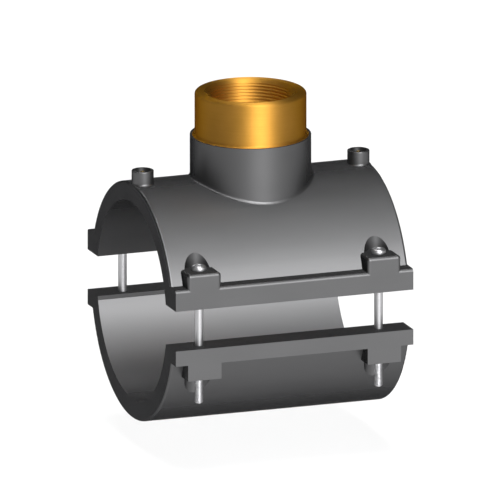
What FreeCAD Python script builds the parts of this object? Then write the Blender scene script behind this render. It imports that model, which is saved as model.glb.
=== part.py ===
import FreeCAD, Part
import math
import os

import Sketcher

# Branch outlet saddle for a plastic pressure pipe. Two half shells clamp round the pipe with four
# long screws. The upper shell carries a moulded branch collar with a brass threaded insert, two
# terminal cups, and a heating wire in its hollow face that welds it to the pipe.
#
# Frame: the origin is where the pipe axis meets the branch axis. +X runs along the pipe and +Z
# runs up the branch. Both shells stand where they clamp the pipe. Lengths are in millimetres.

SIZES = {
    # pipe and the two shells
    "pipe_radius": 70.0,
    "saddle_length": 174.6,
    "flange_width": 19.2,
    "end_round": 1.6,
    "upper_wall": 13.0,
    "upper_split": 14.0,
    "upper_flange_height": 14.9,
    "upper_edge_round": 2.2,
    "lower_wall": 14.2,
    "lower_split": 14.4,
    "lower_flange_height": 10.9,
    "split_land": 2.7,
    # screw bosses and the scoops that clear a tool beside them
    "boss_width": 24.5,
    "upper_boss_rise": 10.3,
    "lower_boss_drop": 11.4,
    "screw_to_end": 21.3,
    "screw_to_front": 12.0,
    "screw_hole_radius": 3.4,
    "scoop_radius": 10.1,
    # clamp screws and their captive nuts
    "screw_radius": 3.0,
    "screw_length": 95.0,
    "screw_tip_chamfer": 0.8,
    "head_radius": 5.25,
    "head_height": 3.3,
    "head_edge": 0.7,
    "head_crown_radius": 2.6,
    "head_dome_radius": 4.2,
    "socket_across_flats": 4.0,
    "socket_depth": 2.1,
    "nut_across_flats": 10.0,
    "nut_height": 5.0,
    "nut_running_gap": 0.05,
    "nut_pocket_gap": 0.15,
    "nut_recess": 0.4,
    # branch collar and the water way through the crown
    "collar_radius": 42.0,
    "collar_rise": 28.1,
    "collar_base_round": 2.2,
    "water_way_radius": 24.5,
    # brass insert
    "insert_radius": 38.7,
    "insert_rise": 30.7,
    "insert_edge_round": 2.0,
    "thread_minor_radius": 28.33,
    "thread_length": 28.0,
    "mouth_radius": 31.5,
    "mouth_depth": 3.0,
    "anchor_neck_radius": 34.5,
    "anchor_neck_height": 4.0,
    "anchor_key_radius": 38.0,
    "anchor_key_height": 5.0,
    "anchor_land_radius": 36.5,
    "anchor_land_height": 2.6,
    "seal_depth": 3.1,
    "seal_height": 3.6,
    "seal_corner_round": 1.1,
    # terminal cups and pins
    "terminal_to_end": 8.0,
    "cup_radius": 7.7,
    "cup_rise": 9.5,
    "cup_base_round": 1.5,
    "cup_foot_sink": 0.6,
    "cup_rim_round": 0.6,
    "cup_bore_radius": 5.6,
    "cup_depth": 8.0,
    "pin_radius": 2.0,
    "pin_stem_radius": 2.6,
    "pin_below_rim": 1.2,
    "pin_tip_chamfer": 0.5,
    # heating wire, wound double and flat in the hollow face
    "coil_radius": 50.0,
    "coil_pitch": 3.0,
    "wire_width": 1.2,
    "wire_thickness": 0.55,
    "wire_cover": 0.1,
    "wire_field_margin": 1.6,
}

COIL_HALF_TURNS = 7
KEY_SIDES = 12
SIDES = (-1, 1)

doc = FreeCAD.newDocument("branch_saddle")


class Size:
    """A length that carries both its value and the formula that ties it to the sheet."""

    def __init__(self, value, formula):
        self.value = value
        self.formula = formula

    def joined(self, other, sign, value):
        return Size(value, "(" + self.formula + " " + sign + " " + other.formula + ")")

    def __add__(self, other):
        other = as_size(other)
        return self.joined(other, "+", self.value + other.value)

    def __sub__(self, other):
        other = as_size(other)
        return self.joined(other, "-", self.value - other.value)

    def __mul__(self, other):
        other = as_size(other)
        return self.joined(other, "*", self.value * other.value)

    def __truediv__(self, other):
        other = as_size(other)
        return self.joined(other, "/", self.value / other.value)

    def __neg__(self):
        return as_size(0) - self


def as_size(number):
    return number if isinstance(number, Size) else Size(float(number), str(number))


def root(size):
    return Size(math.sqrt(size.value), "sqrt(" + size.formula + ")")


def fill_sheet():
    sheet = doc.addObject("Spreadsheet::Sheet", "Sizes")
    for row, (name, value) in enumerate(SIZES.items(), start=1):
        sheet.set("A%d" % row, name)
        sheet.set("B%d" % row, str(value))
        sheet.setAlias("B%d" % row, name)
    doc.recompute()
    return {name: Size(float(sheet.get(name)), "Sizes." + name) for name in SIZES}


s = fill_sheet()
ZERO = as_size(0)


# Places that several pieces share

UPPER_OUTER_RADIUS = s["pipe_radius"] + s["upper_wall"]
LOWER_OUTER_RADIUS = s["pipe_radius"] + s["lower_wall"]
FLANGE_REACH = s["pipe_radius"] + s["flange_width"]
SCREW_X = s["saddle_length"] / 2 - s["screw_to_end"]
SCREW_Y = FLANGE_REACH - s["screw_to_front"]
TERMINAL_X = s["saddle_length"] / 2 - s["terminal_to_end"]
COLLAR_TOP = UPPER_OUTER_RADIUS + s["collar_rise"]
INSERT_TOP = COLLAR_TOP + s["insert_rise"]
CUP_TOP = UPPER_OUTER_RADIUS + s["cup_rise"]
UPPER_FLANGE_TOP = s["upper_split"] + s["upper_flange_height"]
UPPER_BOSS_TOP = UPPER_FLANGE_TOP + s["upper_boss_rise"]
LOWER_FLANGE_BOTTOM = -(s["lower_split"] + s["lower_flange_height"])
LOWER_BOSS_BOTTOM = LOWER_FLANGE_BOTTOM - s["lower_boss_drop"]
NUT_BOTTOM = LOWER_BOSS_BOTTOM + s["nut_recess"]
ANCHOR_KEY_TOP = COLLAR_TOP - s["anchor_neck_height"]
ANCHOR_KEY_BOTTOM = ANCHOR_KEY_TOP - s["anchor_key_height"]
UPPER_SEAL_BOTTOM = ANCHOR_KEY_BOTTOM - s["seal_height"]
MIDDLE_LAND_BOTTOM = UPPER_SEAL_BOTTOM - s["anchor_land_height"]
LOWER_SEAL_BOTTOM = MIDDLE_LAND_BOTTOM - s["seal_height"]
INSERT_BOTTOM = LOWER_SEAL_BOTTOM - s["anchor_land_height"]
SEAL_GROOVE_RADIUS = s["anchor_land_radius"] - s["seal_depth"]
THREAD_BOTTOM = INSERT_TOP - s["thread_length"]
WIRE_OUTER_RADIUS = s["pipe_radius"] + s["wire_cover"] + s["wire_thickness"]
PIN_TOP = CUP_TOP - s["pin_below_rim"]
CUP_FLOOR = CUP_TOP - s["cup_depth"]


# Sketch and feature helpers

def new_body(label):
    body = doc.addObject("PartDesign::Body", label)
    body.Label = label
    return body


def new_sketch(body, label, role, offset=ZERO, shift=ZERO):
    """A sketch on one of the body's own origin planes.

    It is moved along the plane's normal by offset, and along its own X axis by shift.
    """
    sketch = body.newObject("Sketcher::SketchObject", label)
    plane = [f for f in body.Origin.OriginFeatures if f.Role == role][0]
    sketch.AttachmentSupport = [(plane, "")]
    sketch.MapMode = "FlatFace"
    sketch.setExpression(".AttachmentOffset.Base.x", shift.formula)
    sketch.setExpression(".AttachmentOffset.Base.z", offset.formula)
    return sketch


def tie(sketch, kind, references, size):
    """One dimension of a sketch, bound to the sheet."""
    index = sketch.addConstraint(Sketcher.Constraint(kind, *references, size.value))
    sketch.setExpression("Constraints[%d]" % index, size.formula)


def place(sketch, geometry, point, x, y):
    """Pins a point of a sketch at x, y from the sketch's origin."""
    for kind, axis, size in (("DistanceX", -2, x), ("DistanceY", -1, y)):
        if size is ZERO:
            sketch.addConstraint(Sketcher.Constraint("PointOnObject", geometry, point, axis))
        else:
            tie(sketch, kind, (-1, 1, geometry, point), size)


def vector(x, y):
    return FreeCAD.Vector(x.value, y.value, 0)


def draw_edge(sketch, start, end, bend=None):
    """A straight edge, or with bend = (radius, turn) an arc: turn is 1 anticlockwise, -1 clockwise.

    Returns the geometry and the numbers of its start and end points.
    """
    if bend is None:
        return sketch.addGeometry(Part.LineSegment(start, end), False), 1, 2
    radius, side = bend
    chord = end - start
    half = chord.Length / 2
    across = FreeCAD.Vector(-chord.y, chord.x, 0).normalize()
    centre = start + chord / 2 + across * (side * math.sqrt(radius.value ** 2 - half ** 2))
    first, last = (start, end) if side > 0 else (end, start)
    angles = [math.atan2(p.y - centre.y, p.x - centre.x) for p in (first, last)]
    circle = Part.Circle(centre, FreeCAD.Vector(0, 0, 1), radius.value)
    arc = sketch.addGeometry(Part.ArcOfCircle(circle, *angles), False)
    tie(sketch, "Radius", (arc,), radius)
    return (arc, 1, 2) if side > 0 else (arc, 2, 1)


def draw_polygon(sketch, corners):
    """A closed outline. A corner is x, y, with a bend after them if an arc leaves it."""
    points = [vector(*corner[:2]) for corner in corners]
    edges = []
    for i, corner in enumerate(corners):
        bend = corner[2] if len(corner) > 2 else None
        edges.append(draw_edge(sketch, points[i], points[(i + 1) % len(points)], bend))
    for i, (edge, start, end) in enumerate(edges):
        after, after_start, after_end = edges[(i + 1) % len(edges)]
        sketch.addConstraint(Sketcher.Constraint("Coincident", edge, end, after, after_start))
        place(sketch, edge, start, *corners[i][:2])


def draw_box(sketch, x_low, x_high, y_low, y_high):
    draw_polygon(sketch, [(x_low, y_low), (x_high, y_low), (x_high, y_high), (x_low, y_high)])


def draw_circle(sketch, x, y, radius):
    circle = sketch.addGeometry(Part.Circle(vector(x, y), FreeCAD.Vector(0, 0, 1), radius.value), False)
    place(sketch, circle, 3, x, y)
    tie(sketch, "Radius", (circle,), radius)


def draw_regular(sketch, x, y, across_flats, sides=6):
    """A regular polygon about x, y, with a flat square to the sketch's X axis."""
    corner = across_flats / 2 / math.cos(math.pi / sides)
    corners = []
    for i in range(sides):
        angle = (2 * i + 1) * math.pi / sides
        corners.append((x + corner * math.cos(angle), y + corner * math.sin(angle)))
    draw_polygon(sketch, corners)


def pad(body, sketch, length, downwards=False, centred=False):
    feature = body.newObject("PartDesign::Pad", sketch.Label + "_pad")
    feature.Profile = sketch
    feature.setExpression("Length", length.formula)
    feature.Reversed = downwards
    if centred:
        feature.SideType = "Symmetric"
    return feature


def cut_through(body, sketch, upwards=False, centred=False):
    """A pocket through all of the body, downwards unless told otherwise."""
    feature = body.newObject("PartDesign::Pocket", sketch.Label + "_cut")
    feature.Profile = sketch
    feature.Type = "ThroughAll"
    feature.Reversed = upwards
    if centred:
        feature.SideType = "Symmetric"
    return feature


def cut(body, sketch, depth, upwards=False):
    feature = body.newObject("PartDesign::Pocket", sketch.Label + "_cut")
    feature.Profile = sketch
    feature.setExpression("Length", depth.formula)
    feature.Reversed = upwards
    return feature


def turn(body, sketch, kind="PartDesign::Revolution"):
    """Turns a sketch round its own vertical axis."""
    feature = body.newObject(kind, sketch.Label + "_turn")
    feature.Profile = sketch
    feature.ReferenceAxis = (sketch, ["V_Axis"])
    feature.Angle = 360
    return feature


def soften(body, label, radius, chosen, kind="PartDesign::Fillet"):
    """Rounds, or chamfers, the edges of the body's last feature that chosen picks."""
    doc.recompute()
    base = body.Tip
    names = ["Edge%d" % (i + 1) for i, edge in enumerate(base.Shape.Edges) if chosen(edge)]
    feature = body.newObject(kind, label)
    feature.Base = (base, names)
    feature.setExpression("Radius" if kind.endswith("Fillet") else "Size", radius.formula)
    return feature


def near(value, target, tolerance=1e-4):
    return abs(value - target) < tolerance


def spans(edge):
    """The edge's box, and whether it is thin along each axis."""
    box = edge.BoundBox
    return box, near(box.XLength, 0), near(box.YLength, 0), near(box.ZLength, 0)


def ring_edge(edge, x, radius, height):
    """True for a circle of this radius about a vertical axis at x, at this height."""
    box, thin_x, thin_y, thin_z = spans(edge)
    return (isinstance(edge.Curve, Part.Circle) and thin_z and near(box.ZMax, height)
            and near(edge.Curve.Radius, radius) and near(edge.Curve.Center.x, x))


# The two shells

def half_shell(label, side, split, flat, radius):
    """A half shell filled in: an arch round the pipe axis, and a flange on each side of it."""
    body = new_body(label)
    meet = root(radius * radius - flat * flat) * side
    arch = new_sketch(body, label + "_arch", "YZ_Plane")
    draw_polygon(arch, [(-meet, split), (meet, split), (meet, flat, (radius, 1)), (-meet, flat)])
    pad(body, arch, s["saddle_length"], centred=True)
    soften(body, label + "_end_rounds", s["end_round"], lambda e: end_outline(e, radius))
    flanges = new_sketch(body, label + "_flanges", "YZ_Plane")
    draw_box(flanges, -FLANGE_REACH, FLANGE_REACH, *sorted_pair(split, flat))
    pad(body, flanges, s["saddle_length"], centred=True)
    return body


def draw_bosses(sketch, inner, outer):
    """Four boss footprints, one round each screw."""
    half = s["boss_width"] / 2
    for x_side in SIDES:
        centre = SCREW_X * x_side
        for y_side in SIDES:
            draw_box(sketch, centre - half, centre + half, *sorted_pair(inner * y_side, outer * y_side))


def sorted_pair(a, b):
    return (a, b) if a.value < b.value else (b, a)


def draw_at_screws(sketch, radius):
    for x_side in SIDES:
        for y_side in SIDES:
            draw_circle(sketch, SCREW_X * x_side, SCREW_Y * y_side, radius)


def end_outline(edge, radius):
    """True for the arc where a shell's outer face meets one of its ends."""
    thin_x = spans(edge)[1]
    return isinstance(edge.Curve, Part.Circle) and thin_x and near(edge.Curve.Radius, radius.value)


def upper_blank():
    """The upper shell's outside: arch, bosses, collar and terminal cups, before any boring."""
    body = half_shell("upper_moulding", 1, s["upper_split"], UPPER_FLANGE_TOP, UPPER_OUTER_RADIUS)
    bosses = new_sketch(body, "upper_bosses", "XY_Plane", s["upper_split"])
    draw_bosses(bosses, s["pipe_radius"], FLANGE_REACH)
    pad(body, bosses, UPPER_BOSS_TOP - s["upper_split"])
    soften(body, "upper_front_rounds", s["upper_edge_round"], front_outline)

    collar = new_sketch(body, "collar", "XY_Plane", s["upper_split"])
    draw_circle(collar, ZERO, ZERO, s["collar_radius"])
    pad(body, collar, COLLAR_TOP - s["upper_split"])
    soften(body, "collar_base_round", s["collar_base_round"], lambda e: foot_edge(e, 0, s["collar_radius"]))

    for x_side, name in zip(SIDES, ("left", "right")):
        cup = new_sketch(body, name + "_cup", "XZ_Plane", shift=TERMINAL_X * x_side)
        draw_cup(cup)
        turn(body, cup)
    trim = new_sketch(body, "end_trim", "YZ_Plane", s["saddle_length"] / 2)
    draw_box(trim, -FLANGE_REACH, FLANGE_REACH, s["upper_split"], CUP_TOP)
    cut_through(body, trim, upwards=True)
    other_trim = new_sketch(body, "other_end_trim", "YZ_Plane", -s["saddle_length"] / 2)
    draw_box(other_trim, -FLANGE_REACH, FLANGE_REACH, s["upper_split"], CUP_TOP)
    cut_through(body, other_trim)
    return body


def draw_cup(sketch):
    """Half section of a terminal cup, still solid: a flared foot on the crown and a round rim."""
    foot = s["cup_radius"] + s["cup_base_round"]
    sink = UPPER_OUTER_RADIUS - s["cup_foot_sink"]
    rim = s["cup_rim_round"]
    draw_polygon(sketch, [
        (ZERO, s["pipe_radius"]),
        (s["cup_radius"], s["pipe_radius"]),
        (s["cup_radius"], sink - s["cup_base_round"]),
        (foot, sink, (s["cup_base_round"], -1)),
        (s["cup_radius"], sink + s["cup_base_round"]),
        (s["cup_radius"], CUP_TOP - rim, (rim, 1)),
        (s["cup_radius"] - rim, CUP_TOP),
        (ZERO, CUP_TOP),
    ])


def front_outline(edge):
    """True for the top edges of the flanges' front faces, and for a boss's front and top edges."""
    box, thin_x, thin_y, thin_z = spans(edge)
    at_front = thin_y and near(abs(box.YMax), FLANGE_REACH.value)
    on_top = thin_z and (near(box.ZMax, UPPER_FLANGE_TOP.value) or near(box.ZMax, UPPER_BOSS_TOP.value))
    beside_boss = thin_x and near(box.ZMax, UPPER_BOSS_TOP.value) and near(box.ZMin, UPPER_FLANGE_TOP.value)
    over_boss = thin_x and thin_z and near(box.ZMax, UPPER_BOSS_TOP.value)
    return at_front and (on_top or beside_boss) or over_boss


def foot_edge(edge, x, radius):
    """True for the curve where an upright round boss at x leaves the arch."""
    box, thin_x, thin_y, thin_z = spans(edge)
    wide = near(box.XLength, 2 * radius.value, 0.2) and near(box.YLength, 2 * radius.value, 0.2)
    return wide and near(box.Center.x, x, 0.2) and not thin_z


def upper_saddle():
    body = upper_blank()
    pipe = new_sketch(body, "upper_pipe_bore", "YZ_Plane")
    draw_circle(pipe, ZERO, ZERO, s["pipe_radius"])
    cut_through(body, pipe, centred=True)

    way = new_sketch(body, "water_way", "XY_Plane", COLLAR_TOP)
    draw_circle(way, ZERO, ZERO, s["water_way_radius"])
    cut_through(body, way)

    socket = new_sketch(body, "insert_socket", "XZ_Plane")
    draw_polygon(socket, [(ZERO, COLLAR_TOP), (s["anchor_neck_radius"], COLLAR_TOP),
                          (s["anchor_neck_radius"], ANCHOR_KEY_BOTTOM),
                          (s["anchor_land_radius"], ANCHOR_KEY_BOTTOM),
                          (s["anchor_land_radius"], INSERT_BOTTOM), (ZERO, INSERT_BOTTOM)])
    turn(body, socket, "PartDesign::Groove")
    key = new_sketch(body, "insert_key_socket", "XY_Plane", ANCHOR_KEY_TOP)
    draw_regular(key, ZERO, ZERO, s["anchor_key_radius"] * 2, KEY_SIDES)
    cut(body, key, s["anchor_key_height"])

    holes = new_sketch(body, "upper_screw_holes", "XY_Plane", UPPER_BOSS_TOP)
    draw_at_screws(holes, s["screw_hole_radius"])
    cut_through(body, holes)
    scoops = new_sketch(body, "upper_scoops", "XY_Plane", UPPER_BOSS_TOP)
    draw_at_screws(scoops, s["scoop_radius"])
    cut_through(body, scoops, upwards=True)

    for x_side, name in zip(SIDES, ("left", "right")):
        centre = TERMINAL_X * x_side
        cup = new_sketch(body, name + "_cup_bore", "XY_Plane", CUP_TOP)
        draw_circle(cup, centre, ZERO, s["cup_bore_radius"])
        cut(body, cup, s["cup_depth"])
        hole = new_sketch(body, name + "_pin_hole", "XY_Plane", CUP_TOP)
        draw_circle(hole, centre, ZERO, s["pin_stem_radius"])
        cut_through(body, hole)

    saddle = doc.addObject("Part::Cut", "upper_saddle")
    saddle.Base = body
    saddle.Tool = wire_field()
    saddle.Label = "upper_saddle"
    return saddle


def upright_cylinder(label, radius, height):
    cylinder = doc.addObject("Part::Cylinder", label)
    cylinder.setExpression("Radius", radius.formula)
    cylinder.setExpression("Height", height.formula)
    return cylinder


def wire_field():
    """The shallow recess in the hollow face that the heating wire and its two leads lie in."""
    margin = s["wire_field_margin"]
    outside = upright_cylinder("field_outside", s["coil_radius"] + margin, CUP_TOP)
    inner_radius = s["coil_radius"] - s["coil_pitch"] * COIL_HALF_TURNS - margin
    inside = upright_cylinder("field_inside", inner_radius, CUP_TOP)
    ring = doc.addObject("Part::Cut", "field_ring")
    ring.Base = outside
    ring.Tool = inside

    lead_reach = TERMINAL_X + s["pin_stem_radius"]
    slots = []
    for x_side, name in zip(SIDES, ("left", "right")):
        slot = doc.addObject("Part::Box", name + "_lead_slot")
        slot.setExpression("Length", (lead_reach - s["coil_radius"]).formula)
        slot.setExpression("Width", (s["pin_stem_radius"] * 2).formula)
        slot.setExpression("Height", CUP_TOP.formula)
        start = -lead_reach if x_side < 0 else s["coil_radius"]
        slot.setExpression(".Placement.Base.x", start.formula)
        slot.setExpression(".Placement.Base.y", (-s["pin_stem_radius"]).formula)
        slots.append(slot)
    plan = doc.addObject("Part::MultiFuse", "field_plan")
    plan.Shapes = [ring] + slots

    floor = doc.addObject("Part::Cylinder", "field_floor")
    floor.setExpression("Radius", WIRE_OUTER_RADIUS.formula)
    floor.setExpression("Height", s["saddle_length"].formula)
    floor.Placement = FreeCAD.Placement(FreeCAD.Vector(0, 0, 0), FreeCAD.Rotation(FreeCAD.Vector(0, 1, 0), 90))
    floor.setExpression(".Placement.Base.x", (-s["saddle_length"] / 2).formula)
    field = doc.addObject("Part::Common", "wire_field")
    field.Base = floor
    field.Tool = plan
    return field


def lower_saddle():
    body = half_shell("lower_saddle", -1, -s["lower_split"], LOWER_FLANGE_BOTTOM, LOWER_OUTER_RADIUS)
    bosses = new_sketch(body, "lower_bosses", "XY_Plane", -s["lower_split"])
    draw_bosses(bosses, s["pipe_radius"], FLANGE_REACH)
    pad(body, bosses, -s["lower_split"] - LOWER_BOSS_BOTTOM, downwards=True)

    pipe = new_sketch(body, "lower_pipe_bore", "YZ_Plane")
    draw_circle(pipe, ZERO, ZERO, s["pipe_radius"])
    cut_through(body, pipe, centred=True)

    # Short upright lands below the split line, where the mould halves part
    land = root(s["pipe_radius"] * s["pipe_radius"] - s["lower_split"] * s["lower_split"])
    lands = new_sketch(body, "split_lands", "YZ_Plane")
    draw_box(lands, -land, land, -(s["lower_split"] + s["split_land"]), -s["lower_split"])
    cut_through(body, lands, centred=True)

    holes = new_sketch(body, "lower_screw_holes", "XY_Plane", -s["lower_split"])
    draw_at_screws(holes, s["screw_hole_radius"])
    cut_through(body, holes)
    scoops = new_sketch(body, "lower_scoops", "XY_Plane", LOWER_BOSS_BOTTOM)
    draw_at_screws(scoops, s["scoop_radius"])
    cut_through(body, scoops)

    pockets = new_sketch(body, "nut_pockets", "XY_Plane", LOWER_BOSS_BOTTOM)
    across = s["nut_across_flats"] + s["nut_pocket_gap"] * 2
    for x_side in SIDES:
        for y_side in SIDES:
            draw_regular(pockets, SCREW_X * x_side, SCREW_Y * y_side, across)
    cut(body, pockets, s["nut_height"] + s["nut_recess"], upwards=True)
    return body


# The brass insert and its seals

def threaded_insert():
    body = new_body("threaded_insert")
    section = new_sketch(body, "insert_section", "XZ_Plane")
    draw_polygon(section, [
        (s["water_way_radius"], INSERT_BOTTOM),
        (s["anchor_land_radius"], INSERT_BOTTOM),
        (s["anchor_land_radius"], LOWER_SEAL_BOTTOM),
        (SEAL_GROOVE_RADIUS, LOWER_SEAL_BOTTOM),
        (SEAL_GROOVE_RADIUS, MIDDLE_LAND_BOTTOM),
        (s["anchor_land_radius"], MIDDLE_LAND_BOTTOM),
        (s["anchor_land_radius"], UPPER_SEAL_BOTTOM),
        (SEAL_GROOVE_RADIUS, UPPER_SEAL_BOTTOM),
        (SEAL_GROOVE_RADIUS, ANCHOR_KEY_BOTTOM),
        (s["anchor_neck_radius"], ANCHOR_KEY_BOTTOM),
        (s["anchor_neck_radius"], COLLAR_TOP),
        (s["insert_radius"], COLLAR_TOP),
        (s["insert_radius"], INSERT_TOP),
        (s["mouth_radius"], INSERT_TOP),
        (s["thread_minor_radius"], INSERT_TOP - s["mouth_depth"]),
        (s["thread_minor_radius"], THREAD_BOTTOM),
        (s["water_way_radius"], THREAD_BOTTOM),
    ])
    turn(body, section)
    key = new_sketch(body, "insert_key", "XY_Plane", ANCHOR_KEY_BOTTOM)
    draw_regular(key, ZERO, ZERO, s["anchor_key_radius"] * 2, KEY_SIDES)
    draw_circle(key, ZERO, ZERO, s["water_way_radius"])
    pad(body, key, s["anchor_key_height"])
    soften(body, "insert_edge_round", s["insert_edge_round"],
           lambda e: ring_edge(e, 0, s["insert_radius"].value, INSERT_TOP.value))
    return body


def insert_seal(label, bottom):
    """A rubber ring, squeezed square between its groove and the collar."""
    body = new_body(label)
    section = new_sketch(body, label + "_section", "XZ_Plane")
    draw_box(section, SEAL_GROOVE_RADIUS, s["anchor_land_radius"], bottom, bottom + s["seal_height"])
    turn(body, section)
    soften(body, label + "_rounds", s["seal_corner_round"], lambda e: isinstance(e.Curve, Part.Circle))
    return body


# Screws and nuts

def clamp_screw(label, x, y):
    """Button-head socket screw. Its own origin is under the head, on its axis."""
    body = new_body(label)
    tip = -s["screw_length"]
    section = new_sketch(body, label + "_section", "XZ_Plane")
    draw_polygon(section, [
        (ZERO, tip),
        (s["screw_radius"] - s["screw_tip_chamfer"], tip),
        (s["screw_radius"], tip + s["screw_tip_chamfer"]),
        (s["screw_radius"], ZERO),
        (s["head_radius"], ZERO),
        (s["head_radius"], s["head_edge"], (s["head_dome_radius"], 1)),
        (s["head_crown_radius"], s["head_height"]),
        (ZERO, s["head_height"]),
    ])
    turn(body, section)
    socket = new_sketch(body, label + "_socket", "XY_Plane", s["head_height"])
    draw_regular(socket, ZERO, ZERO, s["socket_across_flats"])
    cut(body, socket, s["socket_depth"])
    body.setExpression(".Placement.Base.x", x.formula)
    body.setExpression(".Placement.Base.y", y.formula)
    body.setExpression(".Placement.Base.z", UPPER_BOSS_TOP.formula)
    return body


def clamp_nut(label, x, y):
    """Hexagon nut, seated in the underside of a lower boss."""
    body = new_body(label)
    plan = new_sketch(body, label + "_plan", "XY_Plane")
    draw_regular(plan, ZERO, ZERO, s["nut_across_flats"])
    draw_circle(plan, ZERO, ZERO, s["screw_radius"] + s["nut_running_gap"])
    pad(body, plan, s["nut_height"])
    body.setExpression(".Placement.Base.x", x.formula)
    body.setExpression(".Placement.Base.y", y.formula)
    body.setExpression(".Placement.Base.z", NUT_BOTTOM.formula)
    return body


# Terminal pins and heating wire

def terminal_pin(label, x):
    """Round contact pin that stands in its cup. Its thicker stem meets the wire's lead below."""
    body = new_body(label)
    section = new_sketch(body, label + "_section", "XZ_Plane")
    draw_polygon(section, [
        (ZERO, WIRE_OUTER_RADIUS),
        (s["pin_stem_radius"], WIRE_OUTER_RADIUS),
        (s["pin_stem_radius"], CUP_FLOOR),
        (s["pin_radius"], CUP_FLOOR),
        (s["pin_radius"], PIN_TOP - s["pin_tip_chamfer"]),
        (s["pin_radius"] - s["pin_tip_chamfer"], PIN_TOP),
        (ZERO, PIN_TOP),
    ])
    turn(body, section)
    body.setExpression(".Placement.Base.x", x.formula)
    return body


def half_turn(centre, radius, upper):
    """Half a circle in plan, from +X to -X on the +Y side, or back on the -Y side."""
    middle = FreeCAD.Vector(centre, radius if upper else -radius, 0)
    start = FreeCAD.Vector(centre + (radius if upper else -radius), 0, 0)
    end = FreeCAD.Vector(centre - (radius if upper else -radius), 0, 0)
    return Part.Arc(start, middle, end).toShape()


def coil_edges(offset):
    """One side of the wound wire in plan, offset from its middle line.

    Two parallel wires run inwards as half circles and join in a hairpin at the inner end. One
    starts at +X and makes COIL_HALF_TURNS half turns. The other starts at -X and makes one less.
    """
    pitch = s["coil_pitch"].value
    first = s["coil_radius"].value - pitch / 2
    edges = []
    for start_upper, turns, shift in ((True, COIL_HALF_TURNS, -offset),
                                      (False, COIL_HALF_TURNS - 1, offset)):
        for i in range(turns):
            upper = start_upper == (i % 2 == 0)
            centre = pitch / 2 if upper else -pitch / 2
            edges.append(half_turn(centre, first - pitch * i + shift, upper))
    last_centre = pitch / 2
    bend_centre = last_centre - (first - pitch * (COIL_HALF_TURNS - 1)) - pitch / 2
    edges.append(half_turn(bend_centre, pitch / 2 + offset, False))
    return edges


def heating_wire():
    half = s["wire_width"].value / 2
    tall = CUP_TOP.value
    start = s["coil_radius"].value
    ends = [Part.makeLine((x - half, 0, 0), (x + half, 0, 0)) for x in (-start, start)]
    outline = Part.Wire(Part.__sortEdges__(coil_edges(-half) + coil_edges(half) + ends))
    walls = Part.Face(outline).extrude(FreeCAD.Vector(0, 0, tall))
    reach = TERMINAL_X.value + s["pin_stem_radius"].value
    leads = [Part.makeBox(reach - start + half, half * 2, tall, FreeCAD.Vector(x, -half, 0))
             for x in (-reach, start - half)]
    axis = FreeCAD.Vector(1, 0, 0)
    length = s["saddle_length"].value
    end = FreeCAD.Vector(-length / 2, 0, 0)
    outer = Part.makeCylinder(WIRE_OUTER_RADIUS.value, length, end, axis)
    inner = Part.makeCylinder(WIRE_OUTER_RADIUS.value - s["wire_thickness"].value, length, end, axis)
    feature = doc.addObject("Part::Feature", "heating_wire")
    feature.Label = "heating_wire"
    feature.Shape = walls.multiFuse(leads).common(outer.cut(inner)).removeSplitter()
    return feature


def check(pieces):
    for item in doc.Objects:
        if "Invalid" in item.State or "Error" in item.State:
            raise RuntimeError(item.Label + " failed: " + str(item.State))
    for piece in pieces:
        if piece.Shape.isNull() or not piece.Shape.isValid() or not piece.Shape.Solids:
            raise RuntimeError(piece.Label + " has no valid solid")


def main():
    pieces = [upper_saddle(), lower_saddle(), threaded_insert(),
              insert_seal("upper_insert_seal", UPPER_SEAL_BOTTOM),
              insert_seal("lower_insert_seal", LOWER_SEAL_BOTTOM),
              heating_wire()]
    for x_side, x_name in zip(SIDES, ("left", "right")):
        pieces.append(terminal_pin(x_name + "_terminal_pin", TERMINAL_X * x_side))
        for y_side, y_name in zip(SIDES, ("front", "back")):
            place_name = y_name + "_" + x_name
            x, y = SCREW_X * x_side, SCREW_Y * y_side
            pieces.append(clamp_screw(place_name + "_screw", x, y))
            pieces.append(clamp_nut(place_name + "_nut", x, y))
    doc.recompute()
    check(pieces)
    os.makedirs("parts", exist_ok=True)
    for piece in pieces:
        piece.Shape.exportStep(os.path.join("parts", piece.Label + ".step"))
        print(piece.Label, len(piece.Shape.Solids), "solid,", round(piece.Shape.Volume), "mm3")


main()
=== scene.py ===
"""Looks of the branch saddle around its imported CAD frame.

The shells, seals, terminal pins and heating wire are the CAD's own solids with node materials. The
outlet ring, the screws and the nuts are turned here as meshes, with the threads that the solids
leave out. Lengths are in millimetres unless they are multiplied by MM, which makes them metres.
"""

import math

import bpy
from mathutils import Matrix, Vector


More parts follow.
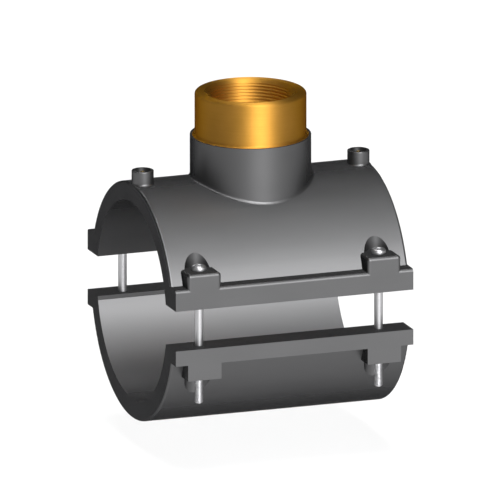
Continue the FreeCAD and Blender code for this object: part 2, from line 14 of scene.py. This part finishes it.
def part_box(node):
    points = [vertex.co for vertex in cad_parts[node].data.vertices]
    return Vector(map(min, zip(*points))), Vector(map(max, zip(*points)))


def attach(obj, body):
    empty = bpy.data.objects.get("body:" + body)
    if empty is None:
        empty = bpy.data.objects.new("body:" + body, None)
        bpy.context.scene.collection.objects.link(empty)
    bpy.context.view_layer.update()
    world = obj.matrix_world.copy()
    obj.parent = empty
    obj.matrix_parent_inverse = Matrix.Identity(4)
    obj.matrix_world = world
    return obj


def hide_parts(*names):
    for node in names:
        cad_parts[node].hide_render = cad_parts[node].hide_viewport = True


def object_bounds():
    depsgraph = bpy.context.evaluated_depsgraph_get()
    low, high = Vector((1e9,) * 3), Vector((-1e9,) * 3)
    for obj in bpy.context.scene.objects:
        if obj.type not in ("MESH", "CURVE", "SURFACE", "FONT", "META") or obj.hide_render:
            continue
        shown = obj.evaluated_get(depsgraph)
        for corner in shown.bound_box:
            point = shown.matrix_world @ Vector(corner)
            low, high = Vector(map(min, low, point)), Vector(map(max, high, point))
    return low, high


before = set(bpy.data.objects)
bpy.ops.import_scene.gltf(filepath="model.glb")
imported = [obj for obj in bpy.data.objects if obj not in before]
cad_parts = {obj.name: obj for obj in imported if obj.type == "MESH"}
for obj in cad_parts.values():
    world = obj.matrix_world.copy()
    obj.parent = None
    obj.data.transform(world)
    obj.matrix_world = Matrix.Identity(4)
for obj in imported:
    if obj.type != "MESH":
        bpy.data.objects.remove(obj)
cad_low, cad_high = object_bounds()

MM = 0.001
FULL_TURN = 2 * math.pi

CORNERS = ("front_left", "front_right", "back_left", "back_right")

# Turned meshes: edges sharper than this stay sharp, and a face closes the section near the axis
SHARP_ANGLE = math.radians(32)
AXIS_HOLE_RADIUS = 0.2

# A thread's crest and root are each flat over this share of half a turn
THREAD_FLAT = 0.1

# Pipe thread in the mouth of the outlet: G2, 11 turns to the inch
PIPE_PITCH = 25.4 / 11
PIPE_THREAD_DEPTH = 1.48
PIPE_RUNOUT_TURNS = 1.5
MOUTH_RADIUS = 31.5
MOUTH_DEPTH = 3.0
THREAD_RADIUS = 28.33
THREAD_LENGTH = 28.0
THREAD_ROWS_PER_TURN = 12
BORE_RADIUS = 24.5
OUTLET_EDGE_ROUND = 2.0
OUTLET_LIP_ROUND = 0.5
OUTLET_LIP_END_ANGLE = 150
OUTLET_FOOT_ROUND = 1.7
OUTLET_SHOULDER = 30.7
NECK_RADIUS = 34.5
NECK_LENGTH = 4.0
KEY_RADIUS = 38.0
KEY_LENGTH = 5.0
SEAL_LENGTH = 3.6
LAND_LENGTH = 2.6
LAND_RADIUS = 36.5
GROOVE_RADIUS = 33.4
OUTLET_SEGMENTS = 160

# M6 clamp screws and nuts
SCREW_RADIUS = 3.0
SCREW_PITCH = 1.0
SCREW_THREAD_DEPTH = 0.55
SCREW_THREAD_LENGTH = 28.0
SCREW_ROWS_PER_TURN = 8
SCREW_TIP_CHAMFER = 0.8
SCREW_SEGMENTS = 40
HEAD_HEIGHT = 3.3
HEAD_RADIUS = 5.25
HEAD_EDGE = 1.2
HEAD_CROWN_RADIUS = 3.4
HEAD_EDGE_ROUND = 0.25
HEAD_DOME_STEPS = 8
SOCKET_FLATS = 4.0
SOCKET_DEPTH = 2.1
SOCKET_LEAD = 0.5
NUT_FLATS = 10.0
NUT_BORE_RADIUS = 3.05
NUT_BORE_LEAD = 0.35
NUT_FACE_RADIUS = 4.6
NUT_CHAMFER_SLOPE = math.tan(math.radians(30))
NUT_SEGMENTS = 72

# Colours are linear. A pair is the darker and the lighter end of a surface's slight variation.
BLACK = (0, 0, 0)
WHITE = (1, 1, 1)
PLASTIC_TONES = ((0.108, 0.108, 0.11), (0.114, 0.114, 0.116))
BRASS_TONES = ((0.48, 0.25, 0.042), (0.52, 0.272, 0.05))
PIN_BRASS_TONES = ((0.22, 0.15, 0.06), (0.27, 0.19, 0.08))
RUBBER_TONES = ((0.016, 0.016, 0.016), (0.026, 0.026, 0.025))
COPPER_TONES = ((0.62, 0.29, 0.14), (0.76, 0.4, 0.22))
COPPER_EDGE_TINT = (0.7, 0.5, 0.4)
SCREW_STEEL = (0.5, 0.5, 0.51)
NUT_STEEL = (0.45, 0.45, 0.46)
STEEL_LINE_SHADE = 0.93

# Noise runs over this middle part of its scale
PATTERN_LOW, PATTERN_HIGH = 0.3, 0.7

# Anisotropic Rotation that turns a stretched highlight from across the tangent to along the axis
UPRIGHT_HIGHLIGHT = 0.25

# The photograph's camera: orthographic, turned 20 degrees to the left and raised 15
VIEW_AZIMUTH = -20
VIEW_ELEVATION = 15
VIEW_WIDTH = 345.4 * MM
VIEW_RIGHT = -0.345 * MM
VIEW_UP = 26.93 * MM
CAMERA_DISTANCE = 2.0

# Sun lamps: name, azimuth, elevation and spread in degrees, strength, and whether it casts a shadow
LAMPS = (
    ("low_key_lamp", 2, 18, 30, 3.8, False),
    ("middle_key_lamp", 1, 42, 30, 1.5, False),
    ("high_key_lamp", 0, 66, 30, 0.9, False),
    ("top_lamp", 0, 88, 30, 0.6, True),
    ("high_back_lamp", 180, 66, 28, 0.4, False),
    ("low_back_lamp", 180, 40, 30, 0.3, False),
)

# The floor lies under the lowered shell. The world is dim above the sine of a low elevation.
FLOOR_REACH = 8.0
FLOOR_COLOUR = 0.8
LOWER_SHELL_TRAVEL = 19.0 * MM
FLOOR_GAP = 0.5 * MM
WORLD_COLOUR = 0.05
HORIZON_LOW_SINE, HORIZON_HIGH_SINE = 0.02, 0.035


# Materials

def new_material(name, colour, metallic, roughness, edge_tint):
    """A Principled material. Its edge tint is the share of the shine left at a grazing angle."""
    made = bpy.data.materials.new(name)
    made.use_nodes = True
    shader = made.node_tree.nodes["Principled BSDF"]
    shader.inputs["Base Color"].default_value = (*colour, 1)
    shader.inputs["Metallic"].default_value = metallic
    shader.inputs["Roughness"].default_value = roughness
    shader.inputs["Specular Tint"].default_value = (*edge_tint, 1)
    return made, shader


def add_turning(made, shader, strength):
    """Lathe lines round the piece's own upright axis stretch its highlights up and down."""
    tangent = made.node_tree.nodes.new("ShaderNodeTangent")
    tangent.direction_type = "RADIAL"
    tangent.axis = "Z"
    made.node_tree.links.new(tangent.outputs["Tangent"], shader.inputs["Tangent"])
    shader.inputs["Anisotropic"].default_value = strength
    shader.inputs["Anisotropic Rotation"].default_value = UPRIGHT_HIGHLIGHT


def add_noise(made, size, detail=2.0, stretch=(1, 1, 1)):
    """Noise whose features are about size millimetres, in the piece's own place."""
    nodes, links = made.node_tree.nodes, made.node_tree.links
    place = nodes.new("ShaderNodeTexCoord")
    mapping = nodes.new("ShaderNodeMapping")
    mapping.inputs["Scale"].default_value = stretch
    noise = nodes.new("ShaderNodeTexNoise")
    noise.inputs["Scale"].default_value = 1 / (size * MM)
    noise.inputs["Detail"].default_value = detail
    links.new(place.outputs["Object"], mapping.inputs["Vector"])
    links.new(mapping.outputs["Vector"], noise.inputs["Vector"])
    return noise.outputs["Fac"]


def add_map_range(tree, source, from_ends, to_ends):
    """The source's value, carried from one pair of ends to the other and held inside it."""
    spread = tree.nodes.new("ShaderNodeMapRange")
    names = ("From Min", "From Max", "To Min", "To Max")
    for name, value in zip(names, (*from_ends, *to_ends)):
        spread.inputs[name].default_value = value
    tree.links.new(source, spread.inputs["Value"])
    return spread.outputs["Result"]


def vary_colour(made, shader, pattern, dark, light):
    """The base colour runs from dark to light over the middle of the pattern."""
    ramp = made.node_tree.nodes.new("ShaderNodeValToRGB")
    stops = ((PATTERN_LOW, dark), (PATTERN_HIGH, light))
    for element, (place, colour) in zip(ramp.color_ramp.elements, stops):
        element.position = place
        element.color = (*colour, 1)
    made.node_tree.links.new(pattern, ramp.inputs["Fac"])
    made.node_tree.links.new(ramp.outputs["Color"], shader.inputs["Base Color"])


def vary_roughness(made, shader, pattern, low, high):
    """The roughness runs from low to high over the middle of the pattern."""
    result = add_map_range(made.node_tree, pattern, (PATTERN_LOW, PATTERN_HIGH), (low, high))
    made.node_tree.links.new(result, shader.inputs["Roughness"])


def add_relief(made, shader, pattern, height, strength):
    """The pattern as a fine bump of this height in millimetres."""
    bump = made.node_tree.nodes.new("ShaderNodeBump")
    bump.inputs["Distance"].default_value = height * MM
    bump.inputs["Strength"].default_value = strength
    made.node_tree.links.new(pattern, bump.inputs["Height"])
    made.node_tree.links.new(bump.outputs["Normal"], shader.inputs["Normal"])


def black_plastic():
    """Satin black polyethylene: faint flow marks along the pipe and a fine moulded grain."""
    made, shader = new_material(
        "black_polyethylene", (0.11, 0.11, 0.111), metallic=1.0, roughness=0.45, edge_tint=BLACK
    )
    flow = add_noise(made, size=22, detail=3, stretch=(0.4, 1, 1))
    vary_colour(made, shader, flow, *PLASTIC_TONES)
    vary_roughness(made, shader, flow, low=0.44, high=0.46)
    add_relief(made, shader, add_noise(made, size=0.9), height=0.03, strength=0.25)
    return made


def turned_brass(name, dark, light):
    """Brass off the lathe: hairlines round the axis and slightly uneven lustre."""
    made, shader = new_material(name, light, metallic=1.0, roughness=0.63, edge_tint=BLACK)
    add_turning(made, shader, strength=0.75)
    vary_colour(made, shader, add_noise(made, size=14, detail=3), dark, light)
    hairlines = add_noise(made, size=0.7, detail=2, stretch=(0.02, 0.02, 1))
    vary_roughness(made, shader, hairlines, low=0.6, high=0.66)
    add_relief(made, shader, hairlines, height=0.012, strength=0.3)
    return made


def bright_steel(name, colour):
    """Stainless steel with faint turning lines round the piece's axis."""
    made, shader = new_material(name, colour, metallic=1.0, roughness=0.5, edge_tint=BLACK)
    add_turning(made, shader, strength=0.2)
    lines = add_noise(made, size=0.5, detail=2, stretch=(0.05, 0.05, 1))
    shade = [channel * STEEL_LINE_SHADE for channel in colour]
    vary_colour(made, shader, lines, shade, colour)
    vary_roughness(made, shader, lines, low=0.4, high=0.48)
    add_relief(made, shader, lines, height=0.01, strength=0.3)
    return made


def seal_rubber():
    made, shader = new_material(
        "seal_rubber", (0.02, 0.02, 0.02), metallic=0.0, roughness=0.75, edge_tint=WHITE
    )
    grain = add_noise(made, size=0.6, detail=3)
    vary_colour(made, shader, grain, *RUBBER_TONES)
    add_relief(made, shader, grain, height=0.05, strength=0.4)
    return made


def drawn_copper():
    made, shader = new_material(
        "drawn_copper",
        (0.72, 0.36, 0.19),
        metallic=1.0,
        roughness=0.33,
        edge_tint=COPPER_EDGE_TINT,
    )
    tone = add_noise(made, size=2.5, detail=3)
    vary_colour(made, shader, tone, *COPPER_TONES)
    vary_roughness(made, shader, tone, low=0.28, high=0.4)
    return made


def paint(node, made):
    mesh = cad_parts[node].data
    mesh.materials.clear()
    mesh.materials.append(made)


# Turned meshes

def ring_points(row, segments):
    """One row of a turned mesh. The row is radius, height; either may depend on the angle."""
    points = []
    for i in range(segments):
        angle = FULL_TURN * i / segments
        radius, height = (value(angle) if callable(value) else value for value in row)
        points.append((
            radius * MM * math.cos(angle),
            radius * MM * math.sin(angle),
            height * MM,
        ))
    return points


def turned(name, rows, centre, segments, body, node, made, closed=False):
    """A mesh turned round the vertical line through centre, which stands for a CAD node.

    The rows follow the section with the metal on their left. An open section starts and ends close
    to the axis, where one face closes it. A closed one joins its last row to its first.
    """
    points = []
    for row in rows:
        points += ring_points(row, segments)
    count = len(rows)
    faces = []
    for k in range(count if closed else count - 1):
        low, high = k * segments, (k + 1) % count * segments
        for i in range(segments):
            after = (i + 1) % segments
            faces.append((low + i, low + after, high + after, high + i))
    if not closed:
        faces.append(tuple(range(segments - 1, -1, -1)))
        faces.append(tuple((count - 1) * segments + i for i in range(segments)))
    mesh = bpy.data.meshes.new(name)
    mesh.from_pydata(points, [], faces)
    mesh.polygons.foreach_set("use_smooth", [True] * len(mesh.polygons))
    mesh.set_sharp_from_angle(angle=SHARP_ANGLE)
    mesh.materials.append(made)
    piece = bpy.data.objects.new(name, mesh)
    bpy.context.scene.collection.objects.link(piece)
    piece.location = centre
    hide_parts(node)
    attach(piece, body)


def arc_rows(radius, height, bend, start, end, steps):
    """Rows along an arc of this bend radius about radius, height, from start to end in degrees."""
    rows = []
    for i in range(steps + 1):
        angle = math.radians(start + (end - start) * i / steps)
        rows.append((radius + bend * math.cos(angle), height + bend * math.sin(angle)))
    return rows


def clamp(share):
    return min(max(share, 0), 1)


def groove_share(turns):
    """Depth of a thread's groove, 0 at the crest and 1 at the root, with both a little rounded."""
    triangle = abs(2 * (turns % 1) - 1)
    share = clamp((triangle - THREAD_FLAT) / (1 - 2 * THREAD_FLAT))
    return share * share * (3 - 2 * share)


def pipe_thread(height, top):
    """Radius of the outlet's bore at a height: the thread, or the mouth's cone where it is wider."""
    cone = MOUTH_RADIUS - (top - height) * (MOUTH_RADIUS - THREAD_RADIUS) / MOUTH_DEPTH
    runout = clamp((height - (top - THREAD_LENGTH)) / (PIPE_RUNOUT_TURNS * PIPE_PITCH))

    def radius(angle):
        turns = height / PIPE_PITCH - angle / FULL_TURN
        return max(THREAD_RADIUS + PIPE_THREAD_DEPTH * runout * groove_share(turns), cone)

    return radius


def outlet_ring(brass):
    """The threaded brass outlet, with its neck, key and seal grooves down inside the collar."""
    low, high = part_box("threaded_insert")
    top = high.z / MM
    wall = high.x / MM
    bottom = low.z / MM
    shoulder = top - OUTLET_SHOULDER
    key_top = shoulder - NECK_LENGTH
    key_low = key_top - KEY_LENGTH
    groove_low = key_low - SEAL_LENGTH
    land_low = groove_low - LAND_LENGTH
    lower_groove_low = land_low - SEAL_LENGTH
    rows = [
        (BORE_RADIUS, bottom),
        (LAND_RADIUS, bottom),
        (LAND_RADIUS, lower_groove_low),
        (GROOVE_RADIUS, lower_groove_low),
        (GROOVE_RADIUS, land_low),
        (LAND_RADIUS, land_low),
        (LAND_RADIUS, groove_low),
        (GROOVE_RADIUS, groove_low),
        (GROOVE_RADIUS, key_low),
        (KEY_RADIUS, key_low),
        (KEY_RADIUS, key_top),
        (NECK_RADIUS, key_top),
        (NECK_RADIUS, shoulder),
    ]
    lip, edge, foot = OUTLET_LIP_ROUND, OUTLET_EDGE_ROUND, OUTLET_FOOT_ROUND
    rows += arc_rows(wall + foot, shoulder + foot, foot, -90, -180, steps=6)
    rows += arc_rows(wall - edge, top - edge, edge, 0, 90, steps=8)
    rows += arc_rows(MOUTH_RADIUS + lip, top - lip, lip, 90, OUTLET_LIP_END_ANGLE, steps=4)
    steps = round((THREAD_LENGTH - lip) / PIPE_PITCH * THREAD_ROWS_PER_TURN)
    for i in range(1, steps + 1):
        height = top - lip - (THREAD_LENGTH - lip) * i / steps
        rows.append((pipe_thread(height, top), height))
    rows.append((BORE_RADIUS, top - THREAD_LENGTH))
    turned(
        "brass_outlet",
        rows,
        centre=Vector(),
        segments=OUTLET_SEGMENTS,
        body="saddle_top",
        node="threaded_insert",
        made=brass,
        closed=True,
    )


def upright(node):
    """A node's upright centre line, and its bottom and top in millimetres."""
    low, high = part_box(node)
    centre = Vector(((low.x + high.x) / 2, (low.y + high.y) / 2, 0))
    return centre, low.z / MM, high.z / MM


def hexagon(flats):
    """Radius of a hexagon at an angle, as its flats lie in the CAD."""
    def radius(angle):
        sixth = FULL_TURN / 6
        return flats / 2 / math.cos((angle + sixth / 2) % sixth - sixth / 2)
    return radius


def screw_thread(height, tip, thread_top):
    """Radius of a screw's shank at a height: the tip's chamfer, rounded turns, plain above them."""
    cone = SCREW_RADIUS - SCREW_TIP_CHAMFER + (height - tip)
    fade = clamp((thread_top - height) / SCREW_PITCH)

    def radius(angle):
        turns = height / SCREW_PITCH - angle / FULL_TURN
        return min(SCREW_RADIUS - SCREW_THREAD_DEPTH * fade * groove_share(turns), cone)

    return radius


def dome_rows(start, top):
    """The head's round shoulder, as a quarter of an ellipse from its edge to its crown."""
    rows = []
    for i in range(HEAD_DOME_STEPS + 1):
        angle = math.pi / 2 * i / HEAD_DOME_STEPS
        rows.append((
            HEAD_CROWN_RADIUS + (HEAD_RADIUS - HEAD_CROWN_RADIUS) * math.cos(angle),
            start + (top - start) * math.sin(angle),
        ))
    return rows


def clamp_screw(corner, steel):
    """Button-head screw with a hexagon socket, turned from its tip to the floor of the socket."""
    node = corner + "_screw"
    centre, tip, top = upright(node)
    seat = top - HEAD_HEIGHT
    rows = [(AXIS_HOLE_RADIUS, tip), (SCREW_RADIUS - SCREW_TIP_CHAMFER, tip)]
    steps = round(SCREW_THREAD_LENGTH / SCREW_PITCH * SCREW_ROWS_PER_TURN)
    for i in range(1, steps + 1):
        height = tip + SCREW_THREAD_LENGTH * i / steps
        rows.append((screw_thread(height, tip, tip + SCREW_THREAD_LENGTH), height))
    rows.append((SCREW_RADIUS, seat))
    bend = HEAD_EDGE_ROUND
    rows += arc_rows(HEAD_RADIUS - bend, seat + bend, bend, -90, 0, steps=3)
    rows += dome_rows(seat + HEAD_EDGE, top)
    socket = hexagon(SOCKET_FLATS)
    rows += [
        (hexagon(SOCKET_FLATS + 2 * SOCKET_LEAD), top),
        (socket, top - SOCKET_LEAD),
        (socket, top - SOCKET_DEPTH),
        (AXIS_HOLE_RADIUS, top - SOCKET_DEPTH - SOCKET_LEAD),
    ]
    turned(
        corner + "_clamp_screw",
        rows,
        centre=centre,
        segments=SCREW_SEGMENTS,
        body=node,
        node=node,
        made=steel,
    )


def captive_nut(corner, steel):
    """Hexagon nut whose corners are chamfered on both faces."""
    node = corner + "_nut"
    centre, bottom, top = upright(node)
    flank = hexagon(NUT_FLATS)

    def drop(angle):
        return (flank(angle) - NUT_FACE_RADIUS) * NUT_CHAMFER_SLOPE

    rows = [
        (NUT_BORE_RADIUS, bottom + NUT_BORE_LEAD),
        (NUT_BORE_RADIUS + NUT_BORE_LEAD, bottom),
        (NUT_FACE_RADIUS, bottom),
        (flank, lambda angle: bottom + drop(angle)),
        (flank, lambda angle: top - drop(angle)),
        (NUT_FACE_RADIUS, top),
        (NUT_BORE_RADIUS + NUT_BORE_LEAD, top),
        (NUT_BORE_RADIUS, top - NUT_BORE_LEAD),
    ]
    turned(
        corner + "_captive_nut",
        rows,
        centre=centre,
        segments=NUT_SEGMENTS,
        body="saddle_bottom",
        node=node,
        made=steel,
        closed=True,
    )


def dress():
    plastic = black_plastic()
    brass = turned_brass("turned_brass", *BRASS_TONES)
    pin_brass = turned_brass("pin_brass", *PIN_BRASS_TONES)
    rubber = seal_rubber()
    paint("upper_saddle", plastic)
    paint("lower_saddle", plastic)
    paint("upper_insert_seal", rubber)
    paint("lower_insert_seal", rubber)
    paint("left_terminal_pin", pin_brass)
    paint("right_terminal_pin", pin_brass)
    paint("heating_wire", drawn_copper())
    outlet_ring(brass)
    screw_steel = bright_steel("screw_steel", SCREW_STEEL)
    nut_steel = bright_steel("nut_steel", NUT_STEEL)
    for corner in CORNERS:
        clamp_screw(corner, screw_steel)
        captive_nut(corner, nut_steel)


# Studio

def direction(azimuth, elevation):
    """From the object towards a lamp or camera: azimuth 0 is the front, -Y, and 90 is +X."""
    a, e = math.radians(azimuth), math.radians(elevation)
    return Vector((math.sin(a) * math.cos(e), -math.cos(a) * math.cos(e), math.sin(e)))


def aim(obj, back, right_shift=0.0, up_shift=0.0, distance=0.0):
    """Stands obj off along back, looking the other way, and shifts it across the view."""
    right = Vector((0, 0, 1)).cross(back).normalized()
    up = back.cross(right)
    place = right * right_shift + up * up_shift + back * distance
    columns = Matrix((right, up, back)).transposed().to_4x4()
    obj.matrix_world = Matrix.Translation(place) @ columns


def add_object(name, data):
    made = bpy.data.objects.new(name, data)
    bpy.context.scene.collection.objects.link(made)
    return made


def add_camera():
    data = bpy.data.cameras.new("camera")
    data.type = "ORTHO"
    data.ortho_scale = VIEW_WIDTH
    camera = add_object("camera", data)
    aim(camera, direction(VIEW_AZIMUTH, VIEW_ELEVATION), VIEW_RIGHT, VIEW_UP, CAMERA_DISTANCE)
    bpy.context.scene.camera = camera


def add_lamp(name, azimuth, elevation, spread, strength, shadow):
    """A soft sun lamp. Most cast no shadow, so the hollow shells stay open to the eye."""
    data = bpy.data.lights.new(name, "SUN")
    data.angle = math.radians(spread)
    data.energy = strength
    data.use_shadow = shadow
    # Without this a shell would still shade the part of the light that its own gloss looks for
    data.cycles.use_multiple_importance_sampling = shadow
    lamp = add_object(name, data)
    aim(lamp, direction(azimuth, elevation))


def add_floor():
    """A pale floor under the lowered shell, bright enough to be the white background."""
    level = cad_low.z - LOWER_SHELL_TRAVEL - FLOOR_GAP
    sides = ((-1, -1), (1, -1), (1, 1), (-1, 1))
    corners = [(x * FLOOR_REACH, y * FLOOR_REACH, level) for x, y in sides]
    mesh = bpy.data.meshes.new("floor")
    mesh.from_pydata(corners, [], [(0, 1, 2, 3)])
    made, shader = new_material(
        "floor_paper", (FLOOR_COLOUR,) * 3, metallic=0.0, roughness=0.9, edge_tint=WHITE
    )
    shader.inputs["Specular IOR Level"].default_value = 0
    mesh.materials.append(made)
    add_object("floor", mesh)


def add_world():
    """A dim room. The lens, metal and glass see the white floor carry on as far as the horizon."""
    world = bpy.data.worlds.new("studio")
    world.use_nodes = True
    nodes, links = world.node_tree.nodes, world.node_tree.links
    place = nodes.new("ShaderNodeTexCoord")
    split = nodes.new("ShaderNodeSeparateXYZ")
    links.new(place.outputs["Generated"], split.inputs["Vector"])
    sines = (HORIZON_LOW_SINE, HORIZON_HIGH_SINE)
    horizon = add_map_range(world.node_tree, split.outputs["Z"], sines, (1, WORLD_COLOUR))

    rays = nodes.new("ShaderNodeLightPath")
    seen = rays.outputs["Is Camera Ray"]
    for kind in ("Is Glossy Ray", "Is Transmission Ray"):
        either = nodes.new("ShaderNodeMath")
        either.operation = "MAXIMUM"
        links.new(seen, either.inputs[0])
        links.new(rays.outputs[kind], either.inputs[1])
        seen = either.outputs["Value"]
    choice = nodes.new("ShaderNodeMix")
    choice.inputs["A"].default_value = WORLD_COLOUR
    links.new(seen, choice.inputs["Factor"])
    links.new(horizon, choice.inputs["B"])
    links.new(choice.outputs["Result"], nodes["Background"].inputs["Color"])
    bpy.context.scene.world = world


dress()
add_camera()
for lamp in LAMPS:
    add_lamp(*lamp)
add_floor()
add_world()
bpy.context.scene.view_settings.view_transform = "Standard"
